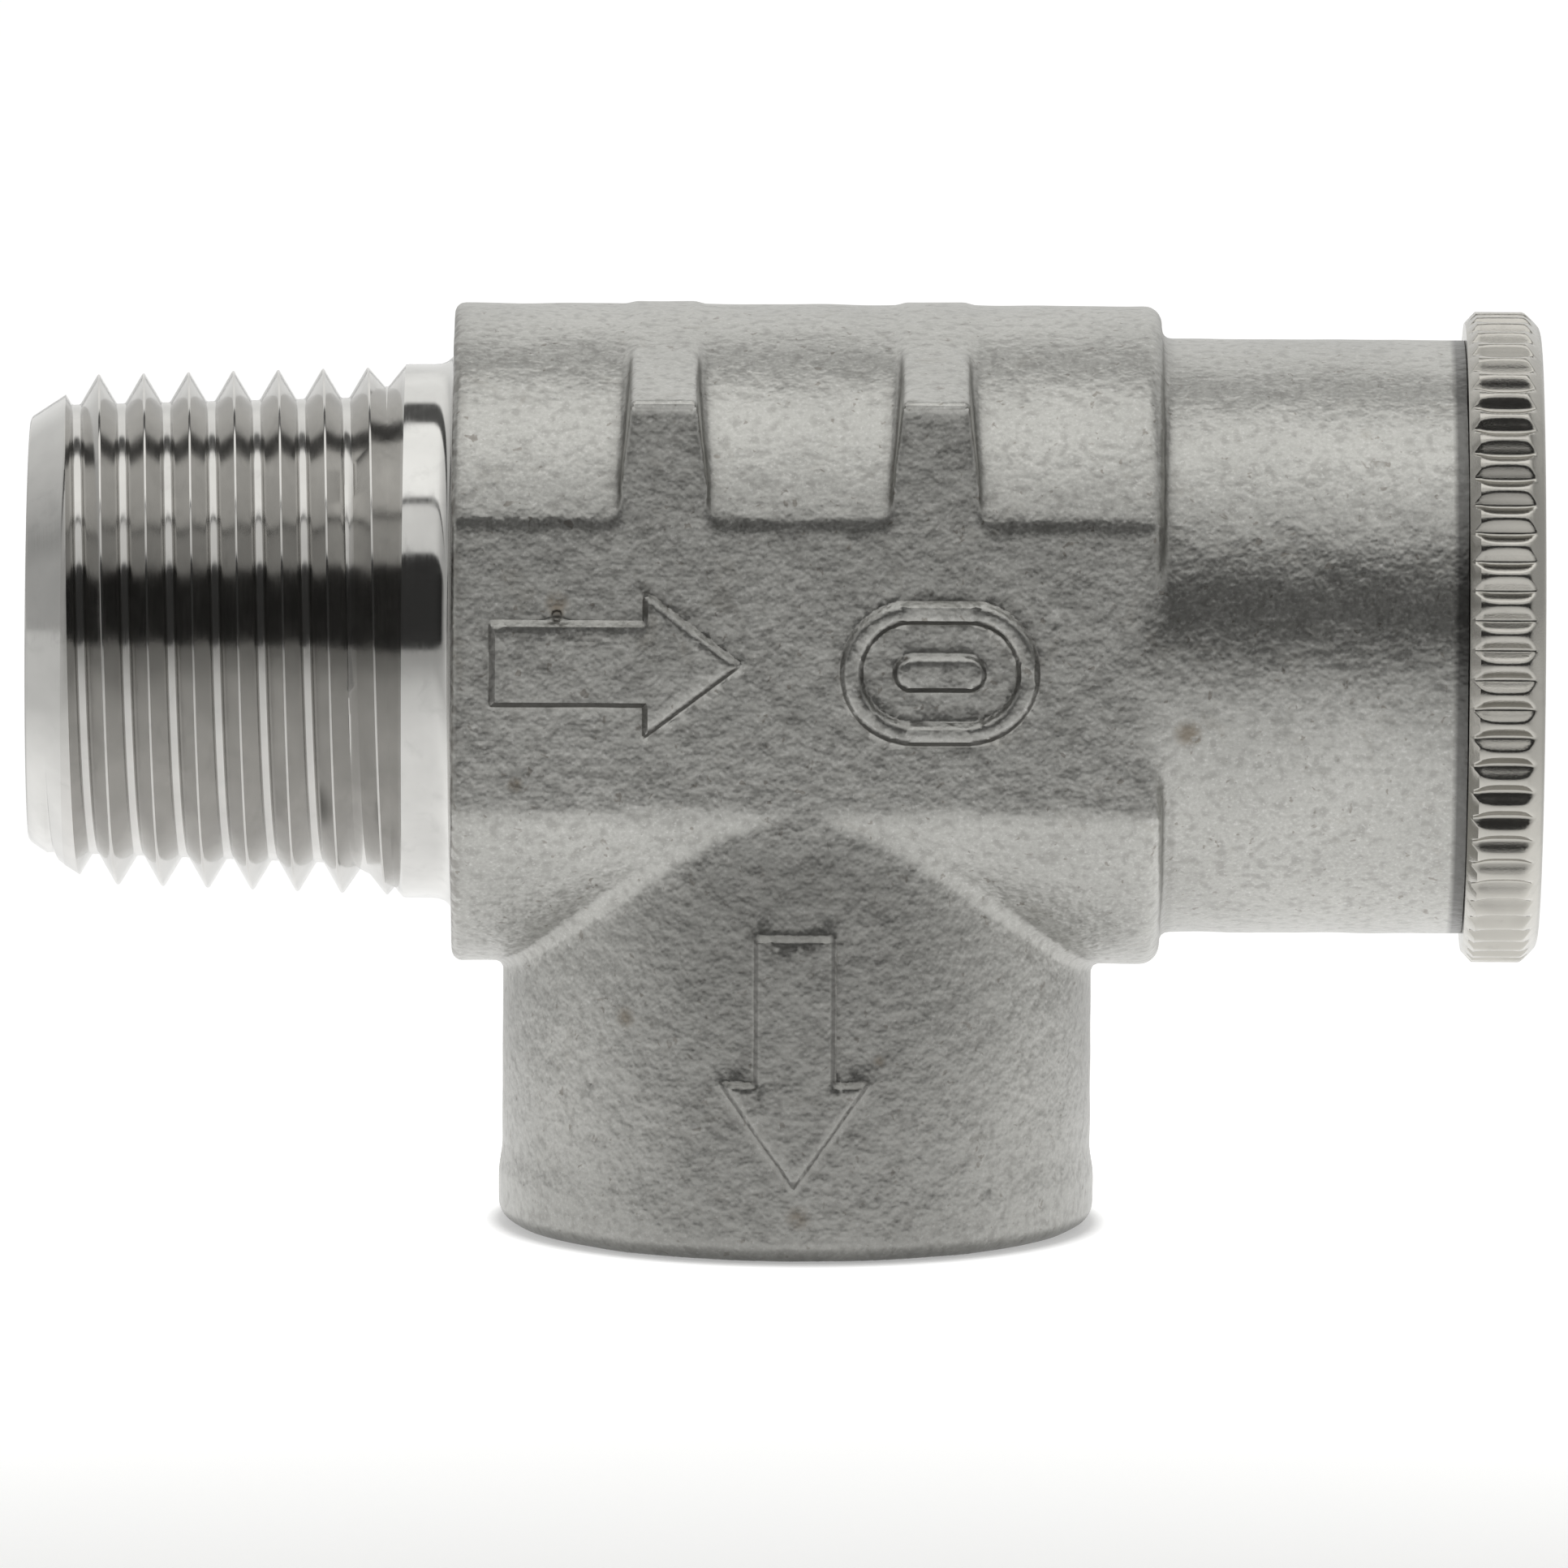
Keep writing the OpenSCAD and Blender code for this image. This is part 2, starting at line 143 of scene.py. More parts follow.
def screw_solid(name, z0, z1, pitch, tooth, radius, around, place=along_bore):
    """Closed right-hand threaded rod past z0 and z1.

    tooth lists (share of a pitch, height of the tooth); radius(height, z) is the rod's surface there.
    The rows of the mesh follow the helix, so that each crest is one clean line.
    """
    share, height = np.array(tooth).T
    per_turn = len(share)
    rows = int(math.ceil((z1 - z0) / pitch) + 2) * per_turn
    k, i = np.meshgrid(np.arange(rows + 1), np.arange(around), indexing="ij")
    turn = 2 * math.pi * i / around
    z = z0 - pitch + pitch * (k // per_turn + share[k % per_turn] + i / around)
    r = radius(height[k % per_turn], z)
    points = np.stack([r * np.cos(turn), r * np.sin(turn), z], axis=-1).reshape(-1, 3)

    def at(row, column):
        return row * around + column

    faces = [
        (at(a, b), at(a, b + 1), at(a + 1, b + 1), at(a + 1, b))
        for a in range(rows) for b in range(around - 1)
    ]
    last = around - 1
    faces += [
        (at(a, last), at(a + per_turn, 0), at(a + 1 + per_turn, 0), at(a + 1, last))
        for a in range(rows - per_turn)
    ]
    low = [at(0, b) for b in range(around)] + [at(a, 0) for a in range(per_turn, 0, -1)]
    high = [at(rows, b) for b in range(around)]
    high += [at(a, last) for a in range(rows - 1, rows - per_turn - 1, -1)]
    ends = [(0, 0, z[0, 0]), (0, 0, z[-1, -1])]
    points = np.vstack([points, ends])
    for loop, centre, flip in ((low, len(points) - 2, True), (high, len(points) - 1, False)):
        for a, b in zip(loop, loop[1:] + loop[:1]):
            faces.append((b, a, centre) if flip else (a, b, centre))
    return closed(new_object(name, place(points), faces))


def apply_modifiers(obj):
    depsgraph = bpy.context.evaluated_depsgraph_get()
    mesh = bpy.data.meshes.new_from_object(obj.evaluated_get(depsgraph))
    obj.modifiers.clear()
    obj.data = mesh


def combine(obj, tools, operation):
    """Boolean of obj with each tool in turn. The tools are used up."""
    for tool in tools:
        cut = obj.modifiers.new("cut", "BOOLEAN")
        cut.operation = operation
        cut.solver = "MANIFOLD"
        cut.object = tool
        apply_modifiers(obj)
        bpy.data.objects.remove(tool)
    return obj


def simplify(obj, share):
    """Keeps this share of the faces. Those it drops are mostly where the surface is flat."""
    thin = obj.modifiers.new("thin", "DECIMATE")
    thin.ratio = share
    apply_modifiers(obj)


def shade(obj, sharp_deg):
    """Smooth shading with crisp edges where faces meet at more than this angle."""
    mesh = obj.data
    mesh.polygons.foreach_set("use_smooth", np.ones(len(mesh.polygons), bool))
    mesh.set_sharp_from_angle(angle=math.radians(sharp_deg))
    return obj


def polygon_vectors(mesh, key):
    """Each face's center or normal, as x, y and z arrays."""
    values = np.zeros(len(mesh.polygons) * 3)
    mesh.polygons.foreach_get(key, values)
    return values.reshape(-1, 3).T


# ---------------------------------------------------------------- the casting as a distance field

def rounded_max(a, b, r):
    """Both shapes, with their meeting edge rounded to r."""
    return np.minimum(np.maximum(a, b), -r) + np.hypot(np.maximum(a + r, 0), np.maximum(b + r, 0))


def filleted_min(a, b, r):
    """Either shape, with a fillet of r where they meet."""
    return np.maximum(np.minimum(a, b), r) - np.hypot(np.maximum(r - a, 0), np.maximum(r - b, 0))


def smooth_step(t):
    """0 up to 0, 1 from 1 on, and an S curve between."""
    t = np.clip(t, 0, 1)
    return t * t * (3 - 2 * t)


def polygon_distance(x, z, corners):
    """Signed distance to a closed outline, negative inside."""
    best = None
    inside = np.zeros(np.broadcast(x, z).shape, bool)
    for (ax, az), (bx, bz) in zip(corners, corners[1:] + corners[:1]):
        ex, ez = bx - ax, bz - az
        t = np.clip(((x - ax) * ex + (z - az) * ez) / (ex * ex + ez * ez), 0, 1)
        d = np.hypot(x - ax - t * ex, z - az - t * ez)
        best = d if best is None else np.minimum(best, d)
        if az != bz:
            crosses = (az > z) != (bz > z)
            inside ^= crosses & (x < ax + (z - az) * ex / ez)
    return np.where(inside, -best, best)


def arrow_outline(tail, neck, tip, shaft, head):
    """Arrow along +x; shaft and head are half widths."""
    below = [(tail, -shaft), (neck, -shaft), (neck, -head)]
    above = [(neck, head), (neck, shaft), (tail, shaft)]
    return below + [(tip, 0)] + above


def stadium_distance(x, z, size):
    """Signed distance to a bar with round ends, of this length and height."""
    length, height = size
    side = (length - height) / 2
    return np.hypot(x - np.clip(x, -side, side), z) - height / 2


RELIEF = 0.34              # height of the marks on the flat
BOSS_RELIEF = 0.27         # height of the arrow on the boss
RELIEF_EDGE = 0.24         # width of their sloping sides
OUTSIDE = 0.4              # share of that width outside the mark's outline
FLOW_ARROW = arrow_outline(-12.35, -6.2, -2.35, 1.66, 2.93)
FLOW_ARROW_U = 0.28        # height of its middle
OUTLET_ARROW = arrow_outline(10.75, 16.7, 20.95, 1.6, 3.0)
OUTLET_ARROW_X = -0.1
MARK_X = 5.65              # centre of the blank maker's field
MARK_OUTER, MARK_INNER, MARK_BAR = (7.9, 5.7), (6.3, 4.1), (3.6, 1.4)  # length, height


def raised(distance, height):
    """Height of a mark with sloping sides, at a signed distance from its outline."""
    return height * np.clip(OUTSIDE - distance / RELIEF_EDGE, 0, 1)


def front_relief(x, u):
    """Height of the marks on the front flat."""
    arrow = polygon_distance(x, u - FLOW_ARROW_U, FLOW_ARROW)
    outer, inner, bar = (stadium_distance(x - MARK_X, u, size) for size in (MARK_OUTER, MARK_INNER, MARK_BAR))
    field = np.minimum(np.maximum(outer, -inner), bar)
    return raised(np.minimum(arrow, field), RELIEF)


def boss_relief(x, u):
    """Height of the arrow that points down the boss."""
    return raised(polygon_distance(-u, x - OUTLET_ARROW_X, OUTLET_ARROW), BOSS_RELIEF)


RIB_X = 5.45               # distance of each rib from the block's middle
RIB_HALF = 1.33            # half its width at the top
RIB_TAPER = 0.12           # growth of that half per millimetre down
RIB_TAPER_DEPTH = 3.5      # where the growth ends
RIB_SLOPE = math.radians(12.6)     # slope of a rib's shoulders
RIB_TOP_R = 13.275
RIB_FOOT_U = 2.0           # lower end, inside the block
RIB_EDGE, RIB_FILLET = 0.25, 0.4
LIP_U, LIP_HEIGHT, LIP_WIDTH = 10.85, 0.16, 0.2    # ridge where a rib meets the flat
LIP_HALF, LIP_FADE = 1.9, 0.5      # half its length, and the length of its fading ends
FLAT_EDGE, LIP_EDGE = 0.18, 0.1    # rounding of the flat's edge, and what a rib adds to it
BLOCK_EDGES = (0.4, 0.75)  # rounding of the two ends
BONNET_X0, BONNET_EDGE = 13.7, 0.3
BONNET_FILLET = 0.4
BOSS_EDGE = 0.85           # rounding of the boss's lower edge
BOSS_TOP_U = -5.6          # upper end, inside the block
BOSS_FILLET = 0.42         # at its sides
LEAST_FILLET = 0.02        # share of that left where boss and block both face the viewer
FILLET_FADE = 0.45
FLAT_TOP_U = 5.94          # half the height of the flats
BEAD_Z, BEAD_RISE, BEAD_HEIGHT = 3.3, 1.4, 0.14    # swelling round the boss's mouth
RIPPLE = 0.012
PITS = [                   # (x, y, z, radius) of balls that leave small casting pits
    (-9.7, -11.98, 26.25, 0.27), (10.3, -12.03, 26.1, 0.22), (13.9, -11.2, 31.5, 0.22),
    (-10.8, -10.75, 16.9, 0.2), (0.05, -12.15, 0.75, 0.26), (-8.4, -8.6, 6.8, 0.2),
    (7.8, -9.2, 2.7, 0.22), (-0.7, -12.0, 30.7, 0.15), (2.9, -11.75, 5.8, 0.2), (16.4, -12.12, 26.4, 0.2),
]


def ripple(x, y, z):
    """The slow unevenness of an investment casting, as waves of unrelated lengths."""
    return RIPPLE * (
        np.sin(1.31 * x + 0.7 * np.sin(0.9 * z)) * np.sin(1.13 * z + 0.4)
        + np.sin(1.07 * y + 2.1) * np.sin(0.83 * x + 1.7)
        + 0.7 * np.sin(2.3 * x - 1.1) * np.sin(2.6 * z + 0.9 * y)
    )


def rib_shape(x, side, away, u):
    """Two ribs over the block, with flat sloping shoulders."""
    top = np.where(
        side < RIB_TOP_R * math.sin(RIB_SLOPE),
        away - RIB_TOP_R,
        side * math.sin(RIB_SLOPE) + u * math.cos(RIB_SLOPE) - RIB_TOP_R,
    )
    width = np.abs(np.abs(x) - RIB_X) - RIB_HALF + RIB_TAPER * np.clip(top, -RIB_TAPER_DEPTH, 0)
    return np.maximum(rounded_max(top, width, RIB_EDGE), RIB_FOOT_U - u)


def block_shape(x, y, u):
    """Round block with ribs, front and back flats and the front's raised marks."""
    side = np.abs(y)
    away = np.hypot(y, u)
    block = filleted_min(away - BLOCK_R, rib_shape(x, side, away, u), RIB_FILLET)
    on_rib = smooth_step((LIP_HALF - np.abs(np.abs(x) - RIB_X)) / LIP_FADE)
    relief = np.where(y < 0, front_relief(x, u), 0)
    relief = relief + LIP_HEIGHT * np.exp(-((u - LIP_U) / LIP_WIDTH) ** 2) * on_rib
    block = rounded_max(block, side - FLAT - relief, FLAT_EDGE + LIP_EDGE * on_rib)
    block = rounded_max(block, x - BLOCK_X[1], BLOCK_EDGES[1])
    return rounded_max(block, BLOCK_X[0] - x, BLOCK_EDGES[0])


def boss_shape(x, y, z, facing):
    """Outlet boss. facing is 1 at its front and back, and 0 at its sides, where the bead is."""
    u = z - AXIS_Z
    bead = BEAD_HEIGHT * smooth_step((BEAD_Z - z) / BEAD_RISE) * (1 - facing)
    boss = np.hypot(x, y) - BOSS_R - bead - np.where(y < 0, boss_relief(x, u), 0)
    boss = rounded_max(boss, -z, BOSS_EDGE)
    return np.maximum(boss, u - BOSS_TOP_U)


def casting(x, y, z):
    """Distance to the casting's outside, before machining. x, y and z broadcast."""
    u = z - AXIS_Z
    away = np.hypot(y, u)
    side = np.abs(y)
    bonnet = rounded_max(away - BONNET_R, BONNET_X0 - x, BONNET_EDGE)
    whole = filleted_min(block_shape(x, y, u), bonnet, BONNET_FILLET)

    facing = side / np.maximum(np.hypot(x, y), TINY)
    boss = boss_shape(x, y, z, facing)
    facing = facing * np.where(np.abs(u) < FLAT_TOP_U, 1.0, side / np.maximum(away, TINY))
    blend = BOSS_FILLET * np.clip((1 - facing) / FILLET_FADE, LEAST_FILLET, 1)
    whole = filleted_min(whole, boss, blend)

    for px, py, pz, radius in PITS:
        hole = np.sqrt((x - px) ** 2 + (y - py) ** 2 + (z - pz) ** 2) - radius
        whole = np.maximum(whole, -hole)
    return whole + ripple(x, y, z)


def cell_points(value, xs, ys, zs):
    """One point in each grid cell that the zero surface crosses, at the mean of its edges' crossings.

    Returns the points, and the number of each cell's point, or -1.
    """
    inside = value < 0
    nx, ny, nz = value.shape
    corners = [(a, b, c) for a in (0, 1) for b in (0, 1) for c in (0, 1)]
    count = sum(inside[a:nx - 1 + a, b:ny - 1 + b, c:nz - 1 + c].astype(np.int8) for a, b, c in corners)
    crossed = (count > 0) & (count < len(corners))
    ci, cj, ck = np.nonzero(crossed)
    number = np.full(crossed.shape, -1, np.int64)
    number[crossed] = np.arange(len(ci))
    total = np.zeros((len(ci), 3))
    hits = np.zeros(len(ci))
    for a, b, c in corners:
        for axis in range(3):
            if (a, b, c)[axis]:
                continue
            end = [a, b, c]
            end[axis] = 1
            v0 = value[ci + a, cj + b, ck + c]
            v1 = value[ci + end[0], cj + end[1], ck + end[2]]
            cross = (v0 < 0) != (v1 < 0)
            t = v0[cross] / (v0[cross] - v1[cross])
            p0 = np.stack([xs[ci + a], ys[cj + b], zs[ck + c]], 1)[cross]
            p1 = np.stack([xs[ci + end[0]], ys[cj + end[1]], zs[ck + end[2]]], 1)[cross]
            total[cross] += p0 + t[:, None] * (p1 - p0)
            hits += cross
    return total / hits[:, None], number


def edge_quads(inside, number, axis):
    """One outward quad round each grid edge along axis that the surface crosses."""
    first, second = (axis + 1) % 3, (axis + 2) % 3
    low = [slice(1, -1)] * 3
    low[axis] = slice(0, -1)
    high = list(low)
    high[axis] = slice(1, None)
    cell = np.array(np.nonzero(inside[tuple(low)] != inside[tuple(high)]))
    cell[first] += 1
    cell[second] += 1
    corners = []
    for d1, d2 in ((1, 1), (0, 1), (0, 0), (1, 0)):
        at = cell.copy()
        at[first] -= d1
        at[second] -= d2
        corners.append(number[tuple(at)])
    quad = np.stack(corners, 1)
    outward = inside[tuple(cell)]
    return np.where(outward[:, None], quad, quad[:, ::-1])


def surface_nets(value, xs, ys, zs):
    """Points and quads of the zero surface of a grid of distances."""
    points, number = cell_points(value, xs, ys, zs)
    return points, np.vstack([edge_quads(value < 0, number, axis) for axis in range(3)])


def on_surface(points, rounds=2, step=0.01, furthest=0.1, least_slope=0.5):
    """Points moved onto the casting's true surface."""
    for _ in range(rounds):
        x, y, z = points.T
        here = casting(x, y, z)
        slope = np.stack([
            casting(x + step, y, z) - casting(x - step, y, z),
            casting(x, y + step, z) - casting(x, y - step, z),
            casting(x, y, z + step) - casting(x, y, z - step),
        ], 1) / (2 * step)
        size = np.maximum((slope ** 2).sum(1), least_slope ** 2)
        move = np.clip(here / size, -furthest, furthest)
        points = points - slope * move[:, None]
    return points


CELL = 0.17                # spacing of the grid for the casting's mesh
SLABS = 12                 # parts the grid is worked out in, to save memory
KEEP_FACES = 0.29          # keeps the body under 200,000 triangles


def casting_mesh():
    """The casting before machining. It runs a little past the bonnet's end, where a cutter trims it."""
    xs = np.arange(BLOCK_X[0] - 2 * CELL, BONNET_X1 + 1.0, CELL)
    ys = np.arange(-BLOCK_R - CELL, BLOCK_R + 2 * CELL, CELL)
    zs = np.arange(-2.5 * CELL, AXIS_Z + RIB_TOP_R + 3 * CELL, CELL)
    slabs = [
        casting(part[:, None, None], ys[None, :, None], zs[None, None, :]).astype(np.float32)
        for part in np.array_split(xs, SLABS)
    ]
    value = np.concatenate(slabs)
    value[-1] = 1.0        # closes the mesh there
    points, quads = surface_nets(value, xs, ys, zs)
    inner = points[:, 0] < BONNET_X1 + 0.3
    points[inner] = on_surface(points[inner])
    return new_object("valve_body_cast", points, quads)


# ---------------------------------------------------------------- valve body

# One tooth of each thread: (share of a pitch from a root's centre, share of the depth).
# The inlet's crests are left sharp and its roots are flat, as the photograph shows.
PIPE_TOOTH = [
    (0.0, 0.0), (0.062, 0.0), (0.088, 0.014), (0.112, 0.06), (0.46, 0.955),
    (0.478, 0.99), (0.5, 1.0), (0.522, 0.99), (0.54, 0.955), (0.888, 0.06), (0.912, 0.014), (0.938, 0.0),
]
FINE_TOOTH = [(0.0, 0.0), (0.08, 0.0), (0.4, 0.93), (0.45, 1.0), (0.55, 1.0), (0.6, 0.93), (0.92, 0.0)]
THREAD_X = (-29.65, -16.0)
THREAD_START = -33.34      # puts the crests where the photograph has them
GAUGE_X, GAUGE_R = -22.9, 10.4775  # radius of the crests at the gauge plane
TAPER = 32                 # length for one millimetre of radius
INLET_DEPTH = 1.2          # of the inlet's teeth
RUNOUT_X, RUNOUT_LENGTH, RUNOUT_SHARE = -18.3, 1.2, 0.35   # where and how much the thread gets shallow
INLET_BORE_R = 6.5
POCKET_R = 8.0             # seat ring's pocket
CHAMBER_X, CHAMBER_R = (-8.5, 16.2), 9.3
PASSAGE_R = 8.0            # from the chamber down to the outlet
OUTLET_BORE_R, OUTLET_THREAD_TOP = 9.35, 12.0
CAP_THREAD_SPACE = (9.46, 9.95)    # root and crest radius of the tap in the bonnet
CAP_THREAD = (8.86, 9.38)          # and of the thread on the cap
CLEAR_R = 15.0             # reaches past the casting


def inlet_surface(height, x):
    """Taper thread that starts behind a smooth lead-in and gets shallow before the collar."""
    crest = GAUGE_R + (x - GAUGE_X) / TAPER
    shallow = RUNOUT_SHARE * smooth_step((x - RUNOUT_X) / RUNOUT_LENGTH)
    return crest - INLET_DEPTH * (1 - np.maximum(height, shallow))


def inlet_end():
    """Threaded inlet with its lead-in and polished collar."""
    around = 160
    thread = screw_solid("inlet", THREAD_START, -14.4, PIPE_PITCH, PIPE_TOOTH, inlet_surface, around)
    x0 = THREAD_X[0]
    envelope = lathe("envelope", [
        (INLET_X, 0), (INLET_X, 8.5), (INLET_X + 0.08, 8.62), (x0 - 0.04, 9.5), (x0, 9.56),
        (x0 + 1.1, 10.25), (x0 + 1.5, 12), (-13.6, 12), (-13.6, 0),
    ], steps=around)
    collar = lathe("collar", [
        (-16.9, 6), (-16.9, 9.6), (-16.05, 10.66), (-15.95, 10.78), (-15.8, 10.8), (-14.75, 10.8),
        (-14.5, 10.83), (-14.25, 10.93), (-14.05, 11.12), (-13.9, 11.4), (-13.2, 11.4), (-13.2, 6),
    ], steps=around)
    end = combine(thread, [envelope], "INTERSECT")
    return combine(end, [collar], "UNION")


def outlet_surface(height, z):
    """A tap: the space of the G 1/2 female thread."""
    return np.where(z > OUTLET_THREAD_TOP, OUTLET_BORE_R, GAUGE_R - PIPE_DEPTH * (1 - height))


def straight_surface(root, crest):
    """Surface of a thread with no taper."""
    def radius(height, _):
        return root + (crest - root) * height
    return radius


def thread_spaces():
    """Taps for the cap's thread in the bonnet and for the outlet's thread."""
    around = 96
    bonnet = screw_solid(
        "tap", 14.6, 26.0, CAP_PITCH, FINE_TOOTH, straight_surface(*CAP_THREAD_SPACE), around)
    bonnet_limit = lathe("limit", [(15.4, 0), (15.4, 11), (30, 11), (30, 0)], steps=around)
    outlet = screw_solid(
        "outlet_tap", -3, 12.6, PIPE_PITCH, PIPE_TOOTH, outlet_surface, around, upright)
    outlet_limit = lathe("limit", [(-1, 0), (-1, 12), (12.4, 12), (12.4, 0)], upright, around)
    return [combine(bonnet, [bonnet_limit], "INTERSECT"), combine(outlet, [outlet_limit], "INTERSECT")]


def machined_spaces():
    """What the cutters take out of the casting."""
    inlet_bore = lathe("inlet_bore", [
        (-32, 0), (-32, 7.9), (INLET_X, 7.0), (-30.7, INLET_BORE_R), (-12.5, INLET_BORE_R), (-12.5, 0),
    ])
    pocket = lathe("pocket", [
        (-13, 0), (-13, POCKET_R), (CHAMBER_X[0] + 0.5, POCKET_R), (CHAMBER_X[0] + 0.5, 0),
    ])
    chamber = lathe("chamber", [
        (CHAMBER_X[0], 0), (CHAMBER_X[0], CHAMBER_R), (CHAMBER_X[1], CHAMBER_R), (CHAMBER_X[1], 0),
    ])
    outlet_lead = lathe("outlet_lead", [(-1, 0), (-1, 11.5), (0.0, 10.65), (1.3, 9.32), (1.3, 0)], upright)
    passage = lathe("passage", [
        (12.0, 0), (12.0, PASSAGE_R + 0.6), (12.6, PASSAGE_R), (AXIS_Z, PASSAGE_R), (AXIS_Z, 0),
    ], upright)
    bonnet_face = lathe("bonnet_face", [
        (BONNET_X1, 0), (BONNET_X1, BONNET_R - 0.05), (BONNET_X1 - 0.05, BONNET_R + 0.02),
        (BONNET_X1 - 0.9, CLEAR_R), (30, CLEAR_R), (30, 0),
    ])
    outlet_face = lathe("outlet_face", [(-2, 0), (-2, CLEAR_R), (0, CLEAR_R), (0, 0)], upright, steps=64)
    return [inlet_bore, pocket, chamber, *thread_spaces(), outlet_lead, passage, bonnet_face, outlet_face]


def valve_body():
    """The casting with its inlet added and its bores, threads and faces cut."""
    body = casting_mesh()
    simplify(body, KEEP_FACES)
    combine(body, [inlet_end()], "UNION")
    combine(body, machined_spaces(), "DIFFERENCE")
    return shade(body, 34)


def machined_faces(body):
    """True for each face that a cutter made: bores, threads, collar and end faces."""
    x, y, z = polygon_vectors(body.data, "center") / MM
    nx, ny, nz = polygon_vectors(body.data, "normal")
    u = z - AXIS_Z
    away = np.hypot(y, u)
    near = 0.05            # distance from a flat face
    square_on = 0.9        # least share of a normal that faces along an axis
    turned_end = (x < BLOCK_X[0] - 0.35) | (nx > -0.94)    # not the block's cast end face
    inlet = (x < BLOCK_X[0] + 0.12) & (away < 11.5) & (u > -12.5) & turned_end
    end_face = (x > BONNET_X1 - near) & (nx > square_on)
    mouth = (z < near) & (nz < -square_on)
    in_bore = (away < 10.2) & (x < BONNET_X1 + 0.1) & (u > -11)
    in_outlet = (np.hypot(x, y) < 10.9) & (z < 20) & (x * nx + y * ny < 0.1)    # inwards or along its axis
    return inlet | end_face | mouth | in_bore | in_outlet


# ---------------------------------------------------------------- cap

CAP_R, CAP_X1 = 13.15, 29.9
KNURLS, KNURL_DEPTH = 68, 0.4
KNURL_X = (BONNET_X1 + 0.06, CAP_X1 - 0.1)
KNURL_TAPER = 3.6          # the higher, the blunter a groove's two ends
LEAST_GROOVE = 0.03        # share of a groove's width and depth left beyond its ends
GROOVE_HALF = 0.45         # half a groove's width, in pitches
GROOVE = [                 # its section: (place as a share of its half width, share of the depth)
    (-1, 0), (-0.8, 0.16), (-0.5, 0.52), (-0.2, 0.88), (-0.07, 0.97),
    (0.07, 0.97), (0.2, 0.88), (0.5, 0.52), (0.8, 0.16), (1, 0),
]


def flange_outline():
    """(x, largest radius) of the flange's rim: a bevel, room for the knurl and a rounded outer edge."""
    rim = [(BONNET_X1, 12.72), (BONNET_X1 + 0.2, 12.93), (BONNET_X1 + 0.42, CAP_R)]
    rim += [(x, CAP_R + 0.85) for x in np.linspace(BONNET_X1 + 0.56, CAP_X1 - 0.9, 11)]
    rim += [(CAP_X1 - 0.74 + 0.66 * t, CAP_R + 0.02 - 0.62 * t ** 1.25) for t in np.linspace(0, 1, 7)]
    return rim + [(CAP_X1 - 0.03, 12.42), (CAP_X1, 12.3), (CAP_X1, 11.9)]


def cap_flange():
    """Knurled flange: V-grooves that get narrow and shallow towards both ends, like lenses."""
    share, drop = np.array(GROOVE, float).T
    drop = np.append(drop, 0)      # and one point on the land, half way to the next groove
    on_axis = np.zeros(KNURLS * len(drop))
    points = []
    rows = [ring(points, 0, on_axis, BONNET_X1)]
    for x, envelope in flange_outline():
        middle = (2 * x - sum(KNURL_X)) / (KNURL_X[1] - KNURL_X[0])
        fade = max(1 - abs(middle) ** KNURL_TAPER, LEAST_GROOVE)
        place = np.append(share * GROOVE_HALF * fade, 0.5)
        angle = (np.arange(KNURLS)[:, None] + place[None, :]).ravel() * 2 * math.pi / KNURLS
        radius = np.minimum(CAP_R - np.tile(drop, KNURLS) * KNURL_DEPTH * fade, envelope)
        rows.append(ring(points, radius, angle, x))
    rows.append(ring(points, 0, on_axis, CAP_X1))
    return closed(new_object("cap_knurled", along_bore(np.array(points)), skin(rows)))


def cap():
    """Knurled flange with a hollow threaded shank, a groove for the O-ring and a shallow dish in its end."""
    flange = cap_flange()
    around = 96
    shank = screw_solid("shank", 21.5, 27.2, CAP_PITCH, FINE_TOOTH, straight_surface(*CAP_THREAD), around)
    limit = lathe("limit", [
        (22.8, 0), (22.8, 8.8), (23.4, 9.42), (26.0, 9.42), (26.2, 9.0), (27.0, 9.0), (27.0, 0),
    ], steps=around)
    shank = combine(shank, [limit], "INTERSECT")
    combine(flange, [shank], "UNION")
    combine(flange, [
        lathe("cavity", [(22, 0), (22, 6.9), (22.8, 6.9), (23.2, 6.5), (28.0, 6.5), (28.2, 6.3), (28.2, 0)]),
        lathe("groove", [(26, 10.18), (26, 11.42), (28.1, 11.42), (28.1, 10.18)]),
        lathe("dish", [(CAP_X1 - 0.12, 0), (CAP_X1 - 0.12, 10.6), (CAP_X1 + 1, 11.4), (CAP_X1 + 1, 0)]),
    ], "DIFFERENCE")
    return shade(flange, 40)


# ---------------------------------------------------------------- spring, in two halves

WIRE_R, COIL_R, TURNS = 0.8, 6.5, 5.5
CLOSED = 0.9               # turns at each end that lie against the next one
SPRING_X = (-1.5, 15.0)
GROUND = 0.82              # share of the wire's radius left outside its centre line at both ends
COIL_GAP = 0.05            # between closed turns
END_GAP = 0.02             # between each ground end and its plate
TURN_STEPS, WIRE_SIDES = 40, 20


